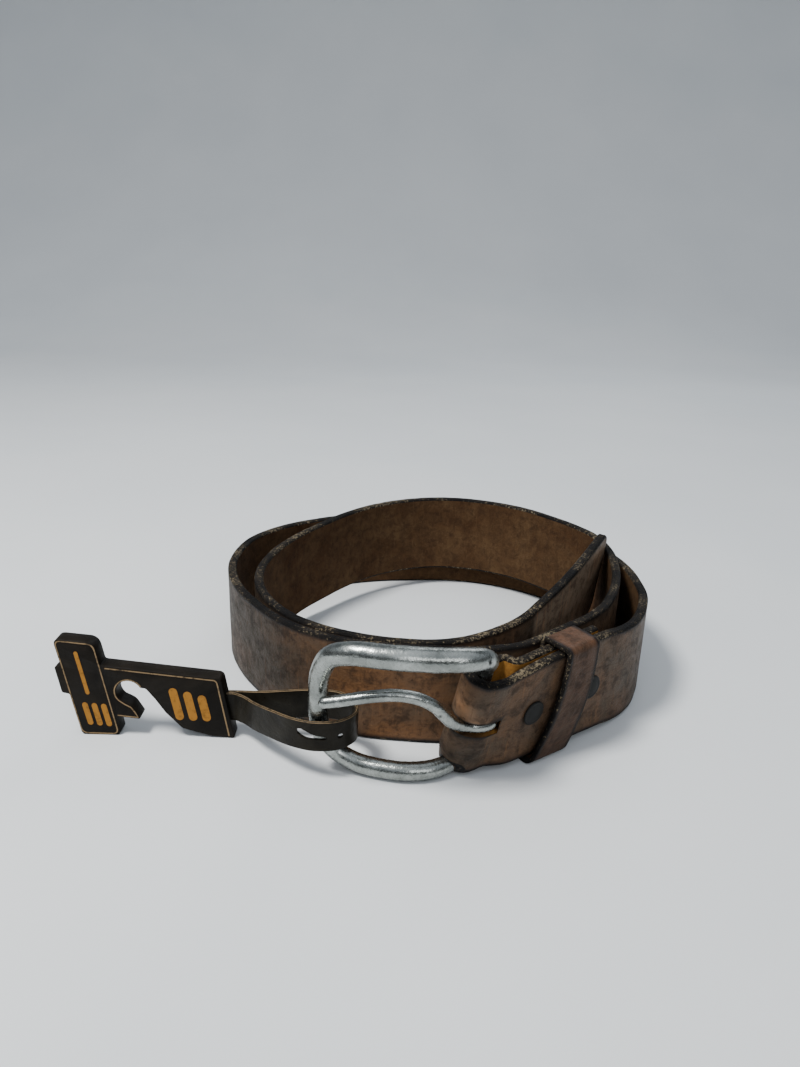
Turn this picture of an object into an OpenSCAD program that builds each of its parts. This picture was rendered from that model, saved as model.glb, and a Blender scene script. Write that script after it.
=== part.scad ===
// A casual leather belt lying coiled on a table, with its heel bar buckle, prong, keeper loop,
// snaps and a hanger that loops round the buckle. Millimetres, +Z up, table at z = 0.

/* [Strap] */
// Width of the strap
strap_w = 38; // [36:0.5:40]
// Thickness of the leather
strap_t = 3.6; // [3.2:0.1:3.6]
// Bevel along the edges of the strap
edge_bevel = 0.6; // [0.3:0.1:1]
// Gap between the main strap and its folded tail at the snaps
layer_gap = 1.6; // [1.4:0.1:1.6]
// Number of holes for the prong
hole_count = 5; // [3:1:7]
// Distance between the holes
hole_pitch = 25; // [20:1:26]
// Radius of a hole for the prong
hole_r = 2.5; // [2:0.1:2.8]
// Distance from the tip to the first hole
first_hole = 95; // [80:1:105]

/* [Buckle] */
// Radius of the heel bar that the strap folds round
bar_r = 2.9; // [2.5:0.1:2.9]
// Radius of the top rail
top_r = 3.9; // [3.3:0.1:3.9]
// Radius of the side and bottom rails
rail_r = 3.2; // [2.9:0.1:3.2]
// Radius of the prong's wire
prong_r = 2.0; // [1.6:0.1:2]
// Running clearance between the prong's eye and the bar
eye_clear = 0.08; // [0.05:0.01:0.1]

/* [Keeper and snaps] */
// Width of the keeper loop
keeper_w = 16.5; // [13:0.5:16.5]
// Thickness of the keeper's leather
keeper_t = 1.8; // [1.4:0.1:1.8]
// Distance from the bar to the keeper's middle
keeper_s = 38.5; // [38:0.5:40]
// How far the keeper's top is pushed along the strap from its bottom
keeper_skew = 10; // [0:0.5:10]
// Radius of a snap's cap
cap_r = 4.5; // [3.8:0.1:4.5]
// Distance from the bar to the first snap
snap_s = 24; // [23.5:0.5:24.5]
// Distance between the two snaps
snap_pitch = 29.5; // [28.5:0.5:30]

/* [Hanger] */
// Thickness of the hanger's plate
plate_t = 6; // [5:0.5:6]
// Thickness of the hanger's looped band
band_t = 1.2; // [0.8:0.1:1.4]
// Width of the hanger's looped band
band_w = 11; // [10:0.5:11]

/* [Hidden] */

// Longest step along a curve, and the gap that leather keeps from metal
step = 5;
leather_gap = 0.3;
layer_shift = strap_t + layer_gap;

// ---- The bar's axis ----

// Where the axis meets the table, and how far it moves sideways over the strap's width
bar_foot = [30.05, -70.6, 0];
bar_shift = [6, -6.5];
bar_dir = unit([bar_shift[0], bar_shift[1], sqrt(pow(38, 2) - pow(norm(bar_shift), 2))]);
bar_x = unit(cross([0, 1, 0], bar_dir));
bar_y = cross(bar_dir, bar_x);
// Heights at which the bar's straight stretch starts and ends
bar_lo = 7.5;
bar_hi = 42;

// ---- The strap's route ----

// Each point is [x, y, z] on the strap's lower edge, then the sideways shift [x, y] of the upper edge.
// Height of the lower edge at the fold and under the keeper
fold_rise = 2.2;
// Straight stretch under the keeper and the snaps: where it starts, its direction in degrees,
// and its two ends as distances from the bar
flat_start = [50.75, -68.6];
flat_turn = 34.5;
flat_s = 22.5;
flat_end = 60;
flat_dir = [cos(flat_turn), sin(flat_turn)];
flat_in = [-sin(flat_turn), cos(flat_turn)];
flat_tilt = [3.2, -2.6];

FRONT = [[38.25, -74.9, fold_rise, 5.2, -5.4]];
TURN_1 = [[89.25, -41.1, 1.2, 0, 0], [97.05, -31.9, 0.4, 0, 0], [102.65, -20.8, 0, 0, 0], [107.15, -7.5, 0, 0, 0],
          [108.55, 6.9, 0, 0, 0], [108.25, 21.9, 0, 0, 0], [104.05, 39.9, 0, 0, 0], [95.75, 56.9, 0, 0, 0],
          [82.25, 71.9, 0, 0, 0], [63.25, 84.4, 0, 0, 0], [40.25, 91.4, 0, 0, 0], [15.25, 90.9, 0, 0, 0],
          [-8.75, 86.9, 0, 0, 0], [-30.75, 77.4, 0, 0, 0], [-49.25, 63.4, 0, 0, 0], [-60.25, 46.9, 0, 0, 0],
          [-63.75, 27.9, 0, 0, 0], [-62.25, 8.9, 0, 0, 0], [-55.75, -9.1, 0, 0, 0], [-45.75, -25.1, 0, 0, 0],
          [-33.25, -39.6, 0, 0, 0], [-18.75, -49.4, 0, 0, 0], [-3.75, -55.1, 0, 0, 0]];
TURN_2 = [[12.25, -57.1, 0, 0, 0], [28.25, -57.6, 0, 0, 0], [42.25, -56.1, 0, 0, 0], [52.25, -52.8, 0, 0, 0],
          [59.45, -48.1, 0.4, 0, 0], [68.75, -41.3, 1.4, 0, 0], [77.25, -35.6, 2.4, 0, 0],
          [84.75, -28.6, 3.4, 0, 0], [92.25, -15.1, 4, 0, 0], [97.75, 0.9, 4.4, 0, 0], [100.65, 16.9, 5, 0, 0],
          [100.85, 30.9, 6, 0, 0], [97.25, 42.9, 7.5, 0, 0], [90.25, 52.4, 8.4, 0, 0], [81.25, 61.9, 9, 0, 0],
          [70.25, 71.9, 9.5, 0, 0], [56.25, 80.9, 9.5, 0, 0], [40.25, 86.2, 9.5, 0, 0], [24.25, 86.3, 9.5, 0, 0],
          [9.25, 81.4, 9.5, 0, 0], [-3.75, 73.9, 9.2, 0, 0], [-15.75, 63.4, 8.6, 0, 0],
          [-27.75, 48.9, 7.5, 0, 0], [-38.25, 34.9, 6, 0, 0], [-45.75, 19.9, 4.4, 0, 0], [-49.25, 3.9, 2.6, 0, 0],
          [-47.25, -10.1, 1.4, 0, 0], [-40.25, -24.1, 0.6, 0, 0], [-29.25, -36.6, 0, 0, 0],
          [-14.75, -45.8, 0, 0, 0]];
TURN_3 = [[0.25, -51.1, 0, 0, 0], [12.25, -53, 0, 0, 0], [23.25, -52.8, 0, 0, 0], [33.25, -49.9, 0.2, 0, 0],
          [43.25, -44.7, 1, 0, 0], [53.25, -37.6, 2.4, 0, 0], [63.25, -26.1, 5, 0, 0],
          [73.25, -11.1, 7.8, 0.8, -0.4], [82.45, 5.4, 10.6, 1.8, -0.9], [89.55, 19.4, 12.8, 2.7, -1.3],
          [94.85, 30.4, 14.4, 3.5, -1.7]];
// Radius of the corners of the strap's tip
tip_r = 5;
// Slot for the prong's eye and room for the bottom rail's end, cut round the bar
slot_h = 7.4;
slot_r = 10;
notch_r = 9;
// Height of the snaps on the strap, and the radii of their holes, stems and posts
snap_h = 19;
snap_hole_r = 2;
stem_r = 1.75;
post_r = 0.8;
// Height of a snap's ring, and the clearance between a snap and the leather
ring_h = 0.8;
snap_clear = 0.12;

// ---- The buckle's loop ----

// From the bar's top round to the bar's foot, each point as [x, y, z, radius of the rail]
RAILS = [[37.45, -80.7, 45.4, 3.1], [35.25, -84.7, 48.2, 3.5], [31.25, -87.3, 49.3, 3.8],
         [25.25, -88.7, 49.7, top_r], [16.25, -89.6, 50.2, top_r], [4.25, -89.6, 50.8, top_r],
         [-5.75, -87.3, 50.4, 3.8], [-12.15, -84.1, 47.4, 3.6],
         [-15.55, -80.8, 40.5, 3.4], [-16.75, -78.3, 31.5, rail_r], [-16.95, -76.4, 22, rail_r],
         [-15.75, -75.1, 13.5, rail_r], [-11.25, -74.9, 7, rail_r], [-4.25, -76.7, 3.9, rail_r],
         [4.25, -79.1, rail_r + 0.1, rail_r], [13.25, -80.3, rail_r + 0.1, rail_r],
         [21.25, -78.7, rail_r + 0.1, rail_r], [27.05, -75.3, 3.8, 3.1], [30.25, -72.5, 5.6, 3]];
rail_sides = 14;

// ---- The prong ----

// Its wire from the eye to the tip, and the height of the eye's middle on the bar
eye_z = 21.5;
PRONG = [[29.75, -80.8, 21.9], [26.65, -83, 24.2], [23.65, -84.4, 27.8], [20.65, -85.3, 31.4],
         [15.75, -85.9, 34.3], [9.05, -86.2, 35.6], [0.45, -86.1, 34.8], [-8.15, -85.1, 32.6],
         [-16.15, -84, 30.6]];
wire_sides = 12;

// ---- The hanger ----

// The band's route from the plate round the buckle's side rail and back, as [x, y, z] on its lower edge
BAND = [[-55.75, -55.9, 6.5], [-48.75, -55.9, 6.5], [-39.75, -56.9, 7], [-29.75, -57.7, 8.2], [-19.75, -59.1, 9.6],
        [-10.75, -62.3, 10.8], [-5.45, -68.1, 11.4], [-4.95, -75.1, 11.4], [-9.75, -80.4, 11.4],
        [-17.75, -81.4, 11.2], [-24.75, -78.7, 10.6], [-32.75, -72.6, 9.4], [-39.75, -66.3, 8.2],
        [-45.75, -59.7, 7], [-49.75, -57.4, 6.6], [-55.75, -57.3, 6.5]];
// The plate's lower right corner of its cross bar, and its rear face
plate_foot = -89.75;
plate_back = -53.35;
// The hook's round end
hook_at = [4.3, 17.6];
hook_r = 4.5;
PLATE = concat([[0, 0], [-13.8, 0], [-16.6, 16.3], [-19.2, 16.8], [-20.8, 27], [-18.4, 27.4],
                [-20.3, 37.8], [-6.2, 36.6], [-4.7, 27.9], [37, 23.9], [40.8, 0],
                [33, 0.6], [22.4, 3.5], [16.6, 10], [13.5, 15], [10.4, 19.8]],
               [hook_at + hook_r * [cos(40), sin(40)], hook_at, hook_at + hook_r * [cos(220), sin(220)]],
               [[4.9, 12.3], [7.9, 6.8], [-1, 7.7]]);

// ---- Functions ----

function unit(v) = v / norm(v);
function gap3(a, b) = norm([b[0] - a[0], b[1] - a[1], b[2] - a[2]]);

// Slope of the smooth curve through points p at point i
function slope(p, i) =
    let (n = len(p) - 1)
    i == 0 ? (p[1] - p[0]) / gap3(p[0], p[1])
    : i == n ? (p[n] - p[n - 1]) / gap3(p[n - 1], p[n])
    : let (a = gap3(p[i - 1], p[i]), b = gap3(p[i], p[i + 1]))
      ((p[i] - p[i - 1]) / a * b + (p[i + 1] - p[i]) / b * a) / (a + b);

// Point of the smooth curve at a share t of the way from point i to the next
function between(p, i, t) =
    let (d = gap3(p[i], p[i + 1]), m = slope(p, i) * d, n = slope(p, i + 1) * d)
    (2 * pow(t, 3) - 3 * pow(t, 2) + 1) * p[i] + (pow(t, 3) - 2 * pow(t, 2) + t) * m
    + (3 * pow(t, 2) - 2 * pow(t, 3)) * p[i + 1] + (pow(t, 3) - pow(t, 2)) * n;

function smooth(p, most) = concat(
    [for (i = [0 : len(p) - 2], k = ceil(gap3(p[i], p[i + 1]) / most), j = [0 : k - 1])
        between(p, i, j / k)],
    [p[len(p) - 1]]);

// Distances from the first point to each point
function reach(p) = [for (i = 0, s = 0; i < len(p);
    s = s + (i < len(p) - 1 ? gap3(p[i], p[i + 1]) : 0), i = i + 1) s];

// Direction of travel at point i
function ahead(p, i) =
    let (a = p[max(0, i - 1)], b = p[min(len(p) - 1, i + 1)])
    unit([b[0] - a[0], b[1] - a[1], b[2] - a[2]]);

// Point of the bar's axis at a height
function bar_at(z) = bar_foot + bar_dir * z / bar_dir[2];

// Point of the straight stretch at a distance from the bar, shifted inwards, and the shift of its top
function flat_at(s, shift) = flat_start + flat_dir * (s - flat_s) + flat_in * shift;
function flat_top(s) = flat_tilt * (1 - (s - flat_s) / (flat_end - flat_s));
function flat(s, shift, rise) =
    let (q = flat_at(s, shift), t = flat_top(s)) [q[0], q[1], rise, t[0], t[1]];

// Cross-section of a band: [offset outwards, height], starting at the outer face's lower edge
function section(w, t, c) =
    [[t / 2, c], [t / 2, w - c], [t / 2 - c, w], [c - t / 2, w],
     [-t / 2, w - c], [-t / 2, c], [c - t / 2, 0], [t / 2 - c, 0]];

// Points of a cross-section s at station i of a route p with shifted upper edges; w is the width
function ribs(p, i, s, w) =
    let (q = p[i], d = ahead(p, i),
         up = unit([q[3], q[4], sqrt(pow(w, 2) - pow(q[3], 2) - pow(q[4], 2))]),
         out = unit(cross(d, up)))
    [for (v = s) [q[0], q[1], q[2]] + out * v[0] + up * v[1]];

// Faces of a closed skin over rings of n points each
function skin(rings, n) = concat(
    [for (i = [0 : rings - 2], j = [0 : n - 1])
        [i * n + j, i * n + (j + 1) % n, (i + 1) * n + (j + 1) % n, (i + 1) * n + j]],
    [[for (j = [n - 1 : -1 : 0]) j]],
    [[for (j = [0 : n - 1]) (rings - 1) * n + j]]);

// Faces of a ring-shaped skin, whose last ring meets the first
function loop_skin(rings, n) = [for (i = [0 : rings - 1], j = [0 : n - 1])
    let (a = i * n, b = ((i + 1) % rings) * n, k = (j + 1) % n)
    each [[a + j, a + k, b + k], [a + j, b + k, b + j]]];

// Shortening of the strap's width at a distance from its tip
function corner(s) = s >= tip_r ? 0 : tip_r - sqrt(pow(tip_r, 2) - pow(tip_r - s, 2));

// ---- The strap's stations ----

// Radius of the middle of the leather where it turns round the bar
arc_r = bar_r + leather_gap + strap_t / 2;
TAIL = [flat(61, layer_shift, fold_rise), flat(20, layer_shift, fold_rise),
        flat(19, layer_shift, fold_rise), [39.25, -63.6, fold_rise, 4.6, -4.2]];
FOLD = [for (a = [90 : 30 : 270])
    let (q = bar_at(fold_rise) + arc_r * (cos(a) * bar_x + sin(a) * bar_y))
    [q[0], q[1], q[2], bar_shift[0], bar_shift[1]]];
FLAT = [for (s = [18, 19, 59, 60]) flat(s, 0, fold_rise)];
ROUTE = [for (q = smooth(concat(TAIL, FOLD, FRONT, FLAT, TURN_1, TURN_2, TURN_3), step))
    [q[0], q[1], max(0, q[2]), q[3], q[4]]];
DONE = reach(ROUTE);
route_end = DONE[len(DONE) - 1];

// A station at a distance from the tip, worked out between its neighbours
function station(s) = [for (k = [0 : 4])
    lookup(route_end - s, [for (i = [0 : len(ROUTE) - 1]) [DONE[i], ROUTE[i][k]]])];

// ---- Shared shapes ----

// A tube through points [x, y, z, radius]
module tube(p, sides) {
    ref = [0.2, -1, -0.2];
    rings = [for (i = [0 : len(p) - 1], j = [0 : sides - 1])
        let (d = ahead(p, i), a = unit(cross(ref, d)), b = cross(d, a), t = -360 * j / sides)
        [p[i][0], p[i][1], p[i][2]] + p[i][3] * (a * cos(t) + b * sin(t))];
    polyhedron(rings, skin(len(p), sides), convexity = 6);
}

// Places a child with its Z axis along the bar at a height
module on_bar(z) {
    translate(bar_at(z))
        rotate([0, acos(bar_dir[2]), atan2(bar_dir[1], bar_dir[0])]) children();
}

// Places a child on the front layer's middle at the snap's height, with +Z pointing outwards
module on_snap(s) {
    q = flat_at(s, 0);
    t = flat_top(s);
    share = snap_h / strap_w;
    // The layer twists, so its direction at the snap isn't quite that of its lower edge
    d = unit(flat_dir - flat_tilt / (flat_end - flat_s) * share);
    lean = asin((t[0] * d[1] - t[1] * d[0]) / strap_w);
    translate([q[0] + t[0] * share, q[1] + t[1] * share, fold_rise + snap_h * cos(lean)])
        rotate([0, 90 + lean, atan2(d[1], d[0]) - 90]) children();
}

// ---- Sub-parts ----

module strap() {
    n = len(ROUTE);
    ends = [for (s = [3, 1.5, 0.5]) station(s)];
    far_end = concat([for (i = [0 : n - 2]) if (route_end - DONE[i] > tip_r) ROUTE[i]], ends,
                     [ROUTE[n - 1]]);
    cut = concat([for (i = [0 : len(far_end) - 5]) 0], [corner(3), corner(1.5), corner(0.5), corner(0)]);
    points = [for (i = [0 : len(far_end) - 1])
        let (s = section(strap_w - 2 * cut[i], strap_t, edge_bevel))
        each ribs(far_end, i, [for (v = s) [v[0], v[1] + cut[i]]], strap_w)];
    color("saddlebrown") difference() {
        polyhedron(points, skin(len(far_end), 8), convexity = 12);
        // Slot for the prong's eye
        on_bar(eye_z - slot_h / 2) cylinder(r = slot_r, h = slot_h, $fn = 48);
        // Room for the bottom rail's end
        on_bar(-4) cylinder(r = notch_r, h = 12.6, $fn = 48);
        // Snap holes through both layers
        for (s = [snap_s, snap_s + snap_pitch])
            on_snap(s) translate([0, 0, -layer_shift - strap_t])
                cylinder(r = snap_hole_r, h = layer_shift + 2 * strap_t, $fn = 32);
        // Holes for the prong
        for (k = [0 : hole_count - 1]) prong_hole(first_hole + k * hole_pitch);
    }
}

module prong_hole(s) {
    q = station(s);
    a = station(s + 2);
    turn = atan2(q[1] - a[1], q[0] - a[0]);
    translate([q[0], q[1], q[2] + strap_w / 2]) rotate([0, 90, turn - 90])
        translate([0, 0, -strap_t]) cylinder(r = hole_r, h = 2 * strap_t, $fn = 32);
}

module buckle_frame() {
    top = bar_at(bar_hi);
    foot = bar_at(bar_lo);
    line = smooth(concat([[top[0], top[1], top[2], bar_r]], RAILS,
                         [[foot[0], foot[1], foot[2], bar_r]]), 4);
    color("silver") union() {
        on_bar(bar_lo) cylinder(r = bar_r, h = (bar_hi - bar_lo) / bar_dir[2], $fn = 48);
        tube(line, rail_sides);
    }
}

module prong() {
    eye_r = bar_r + eye_clear;
    wire = eye_r + prong_r;
    start = bar_at(eye_z) - wire * bar_y;
    line = smooth([for (q = concat([start], PRONG)) [q[0], q[1], q[2], prong_r]], 4);
    n = len(line);
    shaped = [for (i = [0 : n - 1]) [line[i][0], line[i][1], line[i][2],
        i == n - 1 ? prong_r * 0.55 : prong_r]];
    color("gainsboro") difference() {
        union() {
            on_bar(eye_z) translate([0, 0, -prong_r])
                cylinder(r = wire + prong_r, h = 2 * prong_r, $fn = 64);
            tube(shaped, wire_sides);
        }
        on_bar(eye_z) translate([0, 0, -3 * prong_r]) cylinder(r = eye_r, h = 6 * prong_r, $fn = 64);
    }
}

module keeper() {
    gap = 0.35;
    mid = keeper_t / 2;
    // The loop stands off both faces, so that it passes over the snaps
    lo = -strap_t / 2 - 4 * gap - mid;
    hi = layer_shift + strap_t / 2 + 2 * gap + mid;
    base = -gap - mid;
    roof = strap_w + gap + mid;
    turn_r = 1.4;
    // Corners of the loop's middle line: [inwards, height, first angle]
    corners = [[hi - turn_r, base + turn_r, -90], [hi - turn_r, roof - turn_r, 0],
               [lo + turn_r, roof - turn_r, 90], [lo + turn_r, base + turn_r, 180]];
    turns = [for (c = corners) [for (a = [0 : 30 : 90])
        [c[0] + turn_r * cos(c[2] + a), c[1] + turn_r * sin(c[2] + a), c[2] + a]]];
    rise = [for (h = [strap_w * 0.15 : strap_w * 0.14 : strap_w * 0.86]) h];
    line = concat(turns[0], [for (h = rise) [hi, h, 0]], turns[1], turns[2],
                  [for (h = rise) [lo, strap_w - h, 180]], turns[3]);
    bevel = 0.4;
    edge = keeper_w / 2;
    rim = [[-edge, bevel - mid], [-edge, mid - bevel], [bevel - edge, mid], [edge - bevel, mid],
           [edge, mid - bevel], [edge, bevel - mid], [edge - bevel, -mid], [bevel - edge, -mid]];
    points = [for (q = line, v = rim)
        let (a = q[0] + v[1] * cos(q[2]), h = q[1] + v[1] * sin(q[2]), k = h / strap_w,
             s = keeper_s + v[0] + keeper_skew * (0.5 - pow(1 - k, 2)),
             p = flat_at(s, a), t = flat_top(s))
        [p[0] + t[0] * k, p[1] + t[1] * k, fold_rise + h]];
    color("sienna") polyhedron(points, loop_skin(len(line), 8), convexity = 6);
}

// A snap's cap with its hollow stem through the front layer and into the socket's ring
module snap_cap(s) {
    color("black") on_snap(s) difference() {
        union() {
            translate([0, 0, strap_t / 2 + snap_clear]) cylinder(r = cap_r, h = 0.6, $fn = 64);
            translate([0, 0, strap_t / 2 + snap_clear + 0.6])
                cylinder(r1 = cap_r, r2 = cap_r - 0.7, h = 0.4, $fn = 64);
            translate([0, 0, -strap_t / 2 - 0.4]) cylinder(r = stem_r, h = strap_t + 0.6, $fn = 64);
        }
        translate([0, 0, -strap_t]) cylinder(r = stem_r - 0.4, h = strap_t, $fn = 64);
    }
}

// The ring that the stem holds on the front layer's back
module snap_socket(s) {
    color("dimgray") on_snap(s) translate([0, 0, -strap_t / 2 - snap_clear - ring_h]) difference() {
        cylinder(r = cap_r - 0.3, h = ring_h, $fn = 64);
        translate([0, 0, -1]) cylinder(r = stem_r + 0.03, h = 3, $fn = 64);
    }
}

// The stud on the tail, whose head snaps into the socket's ring
module snap_stud(s) {
    base = layer_gap - ring_h - 3 * snap_clear;
    color("gray") on_snap(s) translate([0, 0, strap_t / 2 - layer_shift + 2 * snap_clear]) difference() {
        union() {
            cylinder(r = cap_r - 0.7, h = base, $fn = 64);
            cylinder(r = stem_r - 0.1, h = base + 0.4, $fn = 64);
        }
        translate([0, 0, -1]) cylinder(r = post_r + 0.03, h = 4, $fn = 64);
    }
}

// The post that holds the stud from the tail's inner side
module snap_post(s) {
    color("dimgray") on_snap(s) translate([0, 0, -layer_shift - strap_t / 2 - 0.5]) {
        cylinder(r = cap_r - 0.9, h = 0.5 - snap_clear, $fn = 64);
        cylinder(r = post_r, h = strap_t + 0.9, $fn = 64);
    }
}

module inner_snap_cap() { snap_cap(snap_s); }
module inner_snap_socket() { snap_socket(snap_s); }
module inner_snap_stud() { snap_stud(snap_s); }
module inner_snap_post() { snap_post(snap_s); }
module outer_snap_cap() { snap_cap(snap_s + snap_pitch); }
module outer_snap_socket() { snap_socket(snap_s + snap_pitch); }
module outer_snap_stud() { snap_stud(snap_s + snap_pitch); }
module outer_snap_post() { snap_post(snap_s + snap_pitch); }

module hanger_plate() {
    slot_in = 0.1;
    end = BAND[len(BAND) - 1];
    color("black") difference() {
        translate([plate_foot, plate_back, 0]) rotate([90, 0, 0]) linear_extrude(plate_t)
            polygon(PLATE);
        // The hook's round end
        translate([plate_foot + hook_at[0], plate_back + 1, hook_at[1]]) rotate([90, 0, 0])
            cylinder(r = hook_r, h = plate_t + 2, $fn = 64);
        // Pocket for the band's two ends
        translate([BAND[0][0] - slot_in, end[1] - band_t / 2 - slot_in, end[2] - slot_in])
            cube([14, BAND[0][1] - end[1] + band_t + 2 * slot_in, band_w + 3 * slot_in]);
    }
}

module hanger_band() {
    line = smooth([for (q = BAND) [q[0], q[1], q[2], 0, 0]], 3);
    s = section(band_w, band_t, 0.2);
    points = [for (i = [0 : len(line) - 1]) each ribs(line, i, s, band_w)];
    color("dimgray") polyhedron(points, skin(len(line), 8), convexity = 8);
}

strap();
buckle_frame();
prong();
keeper();
inner_snap_cap();
inner_snap_socket();
inner_snap_stud();
inner_snap_post();
outer_snap_cap();
outer_snap_socket();
outer_snap_stud();
outer_snap_post();
hanger_plate();
hanger_band();
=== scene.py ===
"""Looks for the coiled leather belt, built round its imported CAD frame. Lengths in the code are
millimetres, and every mesh is scaled to metres when it is made."""

import math

import bmesh
import bpy
import numpy as np
from mathutils import Matrix, Vector, noise


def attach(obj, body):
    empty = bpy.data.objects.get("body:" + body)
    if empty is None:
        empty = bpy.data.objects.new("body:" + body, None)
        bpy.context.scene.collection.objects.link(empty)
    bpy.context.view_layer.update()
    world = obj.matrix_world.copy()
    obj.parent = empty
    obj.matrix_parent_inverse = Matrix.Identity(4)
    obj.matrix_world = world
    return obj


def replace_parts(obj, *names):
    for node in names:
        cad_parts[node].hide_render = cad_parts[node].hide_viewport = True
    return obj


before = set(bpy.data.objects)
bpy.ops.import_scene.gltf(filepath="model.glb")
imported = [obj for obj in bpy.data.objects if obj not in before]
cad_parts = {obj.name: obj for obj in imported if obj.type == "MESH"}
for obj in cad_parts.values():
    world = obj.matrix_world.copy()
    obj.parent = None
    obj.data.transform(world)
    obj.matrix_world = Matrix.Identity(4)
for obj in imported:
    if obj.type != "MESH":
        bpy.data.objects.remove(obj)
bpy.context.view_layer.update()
MM = 0.001

# ---- Sizes shared with the CAD model ----

STRAP_W, STRAP_T, LAYER_GAP = 38.0, 3.6, 1.6
LAYER_SHIFT = STRAP_T + LAYER_GAP
BAR_R, RAIL_R, TOP_R, PRONG_R, EYE_CLEAR, EYE_Z = 2.9, 3.2, 3.9, 2.0, 0.08, 21.5
KEEPER_W, KEEPER_T, KEEPER_S, KEEPER_SKEW = 16.5, 1.8, 38.5, 10.0
CAP_R, SNAP_S, SNAP_PITCH, SNAP_H, SNAP_CLEAR = 4.5, 24.0, 29.5, 19.0, 0.12
PLATE_T, BAND_T, BAND_W = 6.0, 1.2, 11.0
FOLD_RISE, TIP_R, LEATHER_GAP = 2.2, 5.0, 0.3
HOLE_COUNT, HOLE_PITCH, FIRST_HOLE, HOLE_R, SNAP_HOLE_R = 5, 25, 95, 2.5, 2.0
# Radius and half height of the slot for the prong's eye, and the play round the bottom rail's end
SLOT_R, SLOT_HALF, NOTCH_PLAY = 9.7, 2.6, 0.3


def unit(v):
    v = np.array(v, float)
    return v / np.linalg.norm(v)


BAR_FOOT = np.array([30.05, -70.6, 0])
BAR_SHIFT = [6, -6.5]
BAR_LO, BAR_HI = 7.5, 42.0
BAR_DIR = unit([*BAR_SHIFT, math.sqrt(STRAP_W**2 - BAR_SHIFT[0]**2 - BAR_SHIFT[1]**2)])
BAR_X = unit(np.cross([0, 1, 0], BAR_DIR))
BAR_Y = np.cross(BAR_DIR, BAR_X)

# The straight stretch under the keeper and the snaps
FLAT_START, FLAT_TURN, FLAT_S, FLAT_END = np.array([50.75, -68.6]), math.radians(34.5), 22.5, 60.0
FLAT_DIR = np.array([math.cos(FLAT_TURN), math.sin(FLAT_TURN)])
FLAT_IN = np.array([-math.sin(FLAT_TURN), math.cos(FLAT_TURN)])
FLAT_TILT = np.array([3.2, -2.6])

# The strap's route past the straight stretch: [x, y, z] on its lower edge, then the shift of its top
TURN_1 = [[89.25, -41.1, 1.2, 0, 0], [97.05, -31.9, 0.4, 0, 0], [102.65, -20.8, 0, 0, 0],
          [107.15, -7.5, 0, 0, 0], [108.55, 6.9, 0, 0, 0], [108.25, 21.9, 0, 0, 0],
          [104.05, 39.9, 0, 0, 0], [95.75, 56.9, 0, 0, 0], [82.25, 71.9, 0, 0, 0],
          [63.25, 84.4, 0, 0, 0], [40.25, 91.4, 0, 0, 0], [15.25, 90.9, 0, 0, 0],
          [-8.75, 86.9, 0, 0, 0], [-30.75, 77.4, 0, 0, 0], [-49.25, 63.4, 0, 0, 0],
          [-60.25, 46.9, 0, 0, 0], [-63.75, 27.9, 0, 0, 0], [-62.25, 8.9, 0, 0, 0],
          [-55.75, -9.1, 0, 0, 0], [-45.75, -25.1, 0, 0, 0], [-33.25, -39.6, 0, 0, 0],
          [-18.75, -49.4, 0, 0, 0], [-3.75, -55.1, 0, 0, 0]]
TURN_2 = [[12.25, -57.1, 0, 0, 0], [28.25, -57.6, 0, 0, 0], [42.25, -56.1, 0, 0, 0],
          [52.25, -52.8, 0, 0, 0], [59.45, -48.1, 0.4, 0, 0], [68.75, -41.3, 1.4, 0, 0],
          [77.25, -35.6, 2.4, 0, 0], [84.75, -28.6, 3.4, 0, 0], [92.25, -15.1, 4, 0, 0],
          [97.75, 0.9, 4.4, 0, 0], [100.65, 16.9, 5, 0, 0], [100.85, 30.9, 6, 0, 0],
          [97.25, 42.9, 7.5, 0, 0], [90.25, 52.4, 8.4, 0, 0], [81.25, 61.9, 9, 0, 0],
          [70.25, 71.9, 9.5, 0, 0], [56.25, 80.9, 9.5, 0, 0], [40.25, 86.2, 9.5, 0, 0],
          [24.25, 86.3, 9.5, 0, 0], [9.25, 81.4, 9.5, 0, 0], [-3.75, 73.9, 9.2, 0, 0],
          [-15.75, 63.4, 8.6, 0, 0], [-27.75, 48.9, 7.5, 0, 0], [-38.25, 34.9, 6, 0, 0],
          [-45.75, 19.9, 4.4, 0, 0], [-49.25, 3.9, 2.6, 0, 0], [-47.25, -10.1, 1.4, 0, 0],
          [-40.25, -24.1, 0.6, 0, 0], [-29.25, -36.6, 0, 0, 0], [-14.75, -45.8, 0, 0, 0]]
TURN_3 = [[0.25, -51.1, 0, 0, 0], [12.25, -53, 0, 0, 0], [23.25, -52.8, 0, 0, 0],
          [33.25, -49.9, 0.2, 0, 0], [43.25, -44.7, 1, 0, 0], [53.25, -37.6, 2.4, 0, 0],
          [63.25, -26.1, 5, 0, 0], [73.25, -11.1, 7.8, 0.8, -0.4], [82.45, 5.4, 10.6, 1.8, -0.9],
          [89.55, 19.4, 12.8, 2.7, -1.3], [94.85, 30.4, 14.4, 3.5, -1.7]]

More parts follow.
